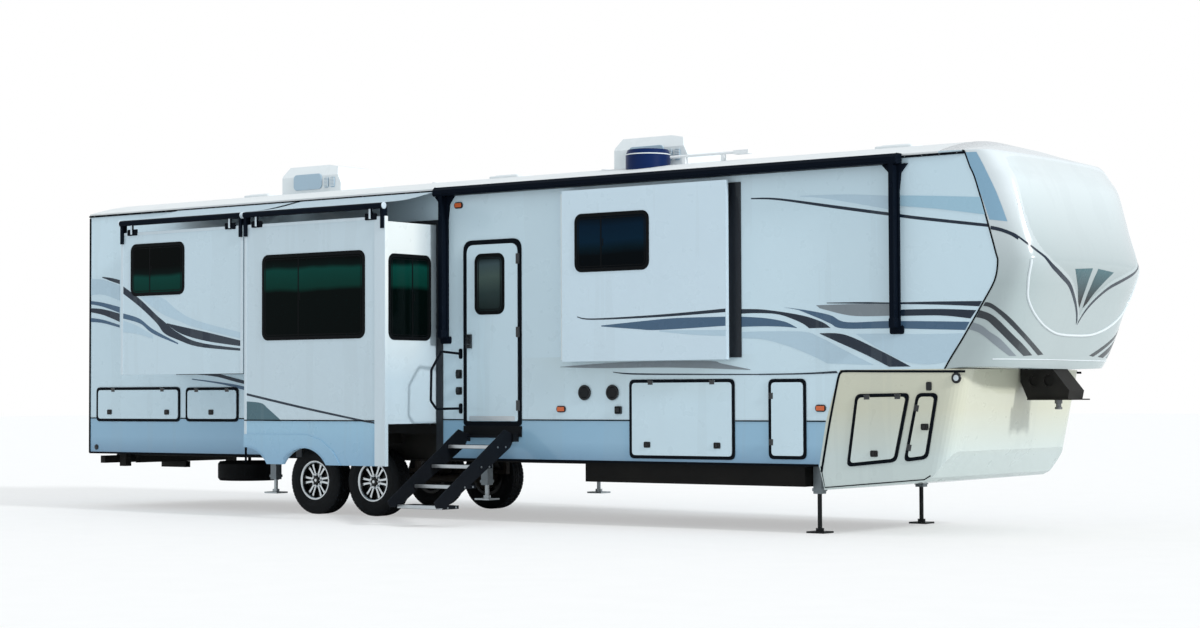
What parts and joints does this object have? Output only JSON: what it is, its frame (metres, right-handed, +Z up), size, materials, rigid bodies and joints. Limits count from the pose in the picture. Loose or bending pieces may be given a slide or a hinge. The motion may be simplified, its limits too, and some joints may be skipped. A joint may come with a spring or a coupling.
{
  "type": "fifth wheel trailer",
  "caption": "Long fifth wheel travel trailer with slide-out rooms, an entry door with fold-up steps and hinged baggage hatches, parked on its jacks.",
  "frame": {"origin": "centre of the kingpin's lower collar, the trailer's coupling point, 1.205 m above the ground", "axes": "+X forwards to the nose, +Y to the road side (left), +Z up; the entry door is on the -Y side"},
  "size_m": [12.986, 4.6769, 4.09],
  "materials": {
    "frame_black": "satin black paint",
    "axle_black": "black paint",
    "jack_grey": "grey paint",
    "ram_steel": "plated",
    "forged_steel": "machined",
    "floor_board": "sealed board",
    "belly_black": "black sheet",
    "wall_white": "gloss gel-coat",
    "room_white": "gloss gel-coat",
    "roof_membrane": "membrane",
    "cap_pearl": "pearl paint",
    "skirt_blue": "metallic paint",
    "panel_beige": "gloss gel-coat",
    "trim_black": "satin black",
    "awning_black": "satin black",
    "cooler_white": "moulded",
    "roof_parts": "moulded",
    "ladder_alloy": "brushed",
    "lamp_amber": "lens",
    "fitting_black": "moulded",
    "window_glass": "dark tint",
    "topper_cloth": "woven vinyl",
    "tyre_rubber": "rubber",
    "wheel_alloy": "machined",
    "step_black": "powder coat"
  },
  "bodies": {
    "root": {"chassis_frame": "frame_black", "cross_beams": "frame_black", "axles": "axle_black", "jack_tubes": "jack_grey", "jack_rams": "ram_steel", "pin_box": "frame_black", "kingpin": "forged_steel", "floors": "floor_board", "belly_pan": "belly_black", "right_wall": "wall_white", "left_wall": "wall_white", "rear_wall": "wall_white", "roof": "roof_membrane", "front_cap": "cap_pearl", "skirts": "skirt_blue", "front_compartment": "panel_beige", "eave_rails": "trim_black", "slide_flanges": "trim_black", "opening_frames": "trim_black", "awning_case": "awning_black", "awning_arms": "awning_black", "air_conditioners": "cooler_white", "roof_fittings": "roof_parts", "ladder": "ladder_alloy", "lamps": "lamp_amber", "fittings": "fitting_black", "fixed_glass": "window_glass", "topper_fabrics": "topper_cloth", "spare_wheel": "tyre_rubber", "grab_handle": "trim_black"},
    "mid_slide_room": {"mid_slide": "room_white", "mid_slide_glass": "window_glass", "mid_slide_topper": "awning_black"},
    "rear_slide_room": {"rear_slide": "room_white", "rear_slide_glass": "window_glass", "rear_slide_topper": "awning_black"},
    "left_slide_room": {"left_slide": "room_white", "left_slide_glass": "window_glass", "left_slide_topper": "awning_black"},
    "bed_slide_room": {"bed_slide": "room_white", "bed_slide_glass": "window_glass"},
    "right_front_wheel_assembly": {"right_front_tyre": "tyre_rubber", "right_front_wheel": "wheel_alloy"},
    "right_rear_wheel_assembly": {"right_rear_tyre": "tyre_rubber", "right_rear_wheel": "wheel_alloy"},
    "left_front_wheel_assembly": {"left_front_tyre": "tyre_rubber", "left_front_wheel": "wheel_alloy"},
    "left_rear_wheel_assembly": {"left_rear_tyre": "tyre_rubber", "left_rear_wheel": "wheel_alloy"},
    "entry_door_leaf": {"entry_door": "wall_white", "entry_door_glass": "window_glass"},
    "steps": {"entry_steps": "step_black"},
    "right_rear_hatch_lid": {"right_rear_hatch": "wall_white"},
    "right_utility_hatch_lid": {"right_utility_hatch": "wall_white"},
    "right_pass_hatch_lid": {"right_pass_hatch": "wall_white"},
    "right_narrow_hatch_lid": {"right_narrow_hatch": "wall_white"},
    "right_nose_hatch_lid": {"right_nose_hatch": "panel_beige"},
    "right_battery_hatch_lid": {"right_battery_hatch": "panel_beige"},
    "left_pass_hatch_lid": {"left_pass_hatch": "wall_white"},
    "left_nose_hatch_lid": {"left_nose_hatch": "panel_beige"}
  },
  "joints": [
    {"name": "right_front_wheel_spin", "type": "hinge", "parent": "root", "child": "right_front_wheel_assembly", "pos_m": [-7.818, -1, -0.819], "axis": [0, 1, 0], "continuous": true},
    {"name": "right_rear_wheel_spin", "type": "hinge", "parent": "root", "child": "right_rear_wheel_assembly", "pos_m": [-8.712, -1, -0.819], "axis": [0, 1, 0], "continuous": true},
    {"name": "left_front_wheel_spin", "type": "hinge", "parent": "root", "child": "left_front_wheel_assembly", "pos_m": [-7.818, 1, -0.819], "axis": [0, 1, 0], "continuous": true},
    {"name": "left_rear_wheel_spin", "type": "hinge", "parent": "root", "child": "left_rear_wheel_assembly", "pos_m": [-8.712, 1, -0.819], "axis": [0, 1, 0], "continuous": true},
    {"name": "mid_slide_out", "type": "slide", "parent": "root", "child": "mid_slide_room", "axis": [0, -1, 0], "range_m": [-0.8, 0], "deforming": ["topper_fabrics"]},
    {"name": "rear_slide_out", "type": "slide", "parent": "root", "child": "rear_slide_room", "axis": [0, -1, 0], "range_m": [-0.8, 0]},
    {"name": "bed_slide_out", "type": "slide", "parent": "root", "child": "bed_slide_room", "axis": [0, -1, 0], "range_m": [-0.06, 0.48]},
    {"name": "left_slide_out", "type": "slide", "parent": "root", "child": "left_slide_room", "axis": [0, 1, 0], "range_m": [-0.8, 0]},
    {"name": "entry_door_hinge", "type": "hinge", "parent": "root", "child": "entry_door_leaf", "pos_m": [-5.6055, -1.2393, 0.81], "axis": [0, 0, 1], "range_deg": [0, 110]},
    {"name": "entry_steps_hinge", "type": "hinge", "parent": "root", "child": "steps", "pos_m": [-5.975, -1.282, -0.3], "axis": [1, 0, 0], "range_deg": [-70, 0]},
    {"name": "right_rear_hatch_hinge", "type": "hinge", "parent": "root", "child": "right_rear_hatch_lid", "pos_m": [-11.565, -1.2363, 0.241], "axis": [-1, 0, 0], "range_deg": [0, 90]},
    {"name": "right_utility_hatch_hinge", "type": "hinge", "parent": "root", "child": "right_utility_hatch_lid", "pos_m": [-10.275, -1.2363, 0.233], "axis": [-1, 0, 0], "range_deg": [0, 90]},
    {"name": "right_pass_hatch_hinge", "type": "hinge", "parent": "root", "child": "right_pass_hatch_lid", "pos_m": [-3.5275, -1.2363, 0.281], "axis": [-1, 0, 0], "range_deg": [0, 90]},
    {"name": "right_narrow_hatch_hinge", "type": "hinge", "parent": "root", "child": "right_narrow_hatch_lid", "pos_m": [-2.473, -1.2363, -0.1], "axis": [0, 0, -1], "range_deg": [0, 100]},
    {"name": "right_nose_hatch_hinge", "type": "hinge", "parent": "root", "child": "right_nose_hatch_lid", "pos_m": [-1.21478, -1.2363, 0.12996], "axis": [-0.9999, 0, -0.0137], "range_deg": [0, 90]},
    {"name": "right_battery_hatch_hinge", "type": "hinge", "parent": "root", "child": "right_battery_hatch_lid", "pos_m": [-0.90339, -1.2363, -0.17381], "axis": [-0.2182, 0, -0.9759], "range_deg": [0, 100]},
    {"name": "left_pass_hatch_hinge", "type": "hinge", "parent": "root", "child": "left_pass_hatch_lid", "pos_m": [-3.5275, 1.2363, 0.281], "axis": [1, 0, 0], "range_deg": [0, 90]},
    {"name": "left_nose_hatch_hinge", "type": "hinge", "parent": "root", "child": "left_nose_hatch_lid", "pos_m": [-1.21478, 1.2363, 0.12996], "axis": [0.9999, 0, 0.0137], "range_deg": [0, 90]}
  ]
}
